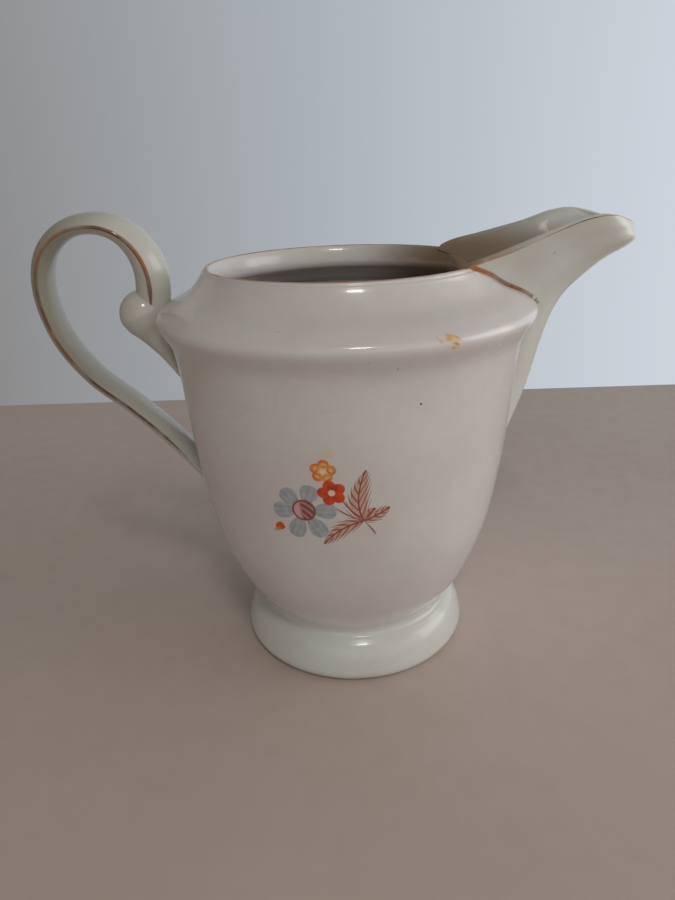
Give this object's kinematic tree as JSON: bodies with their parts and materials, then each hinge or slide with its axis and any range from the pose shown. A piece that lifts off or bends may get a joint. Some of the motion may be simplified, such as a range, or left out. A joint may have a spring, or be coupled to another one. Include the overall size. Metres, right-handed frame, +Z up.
{
  "type": "cream jug",
  "caption": "Glazed porcelain cream jug with a shouldered bowl on a bell foot, a rising beak spout and a looped strap handle with a scroll.",
  "frame": {"origin": "centre of the ring that the foot stands on", "axes": "+Z up, +X out along the spout, -X out along the handle, +Y to the jug's left side seen from the handle"},
  "size_m": [0.1266, 0.0808, 0.1008],
  "materials": {
    "wall_glaze": "clear gloss glaze over warm ivory porcelain, with a small printed flower sprig",
    "trim_glaze": "clear gloss glaze with a faint green cast where it lies thick, brown-gold edge lines"
  },
  "bodies": {
    "root": {"body": "wall_glaze", "foot": "trim_glaze", "spout": "trim_glaze", "handle": "trim_glaze", "handle_scroll": "trim_glaze"}
  },
  "joints": []
}
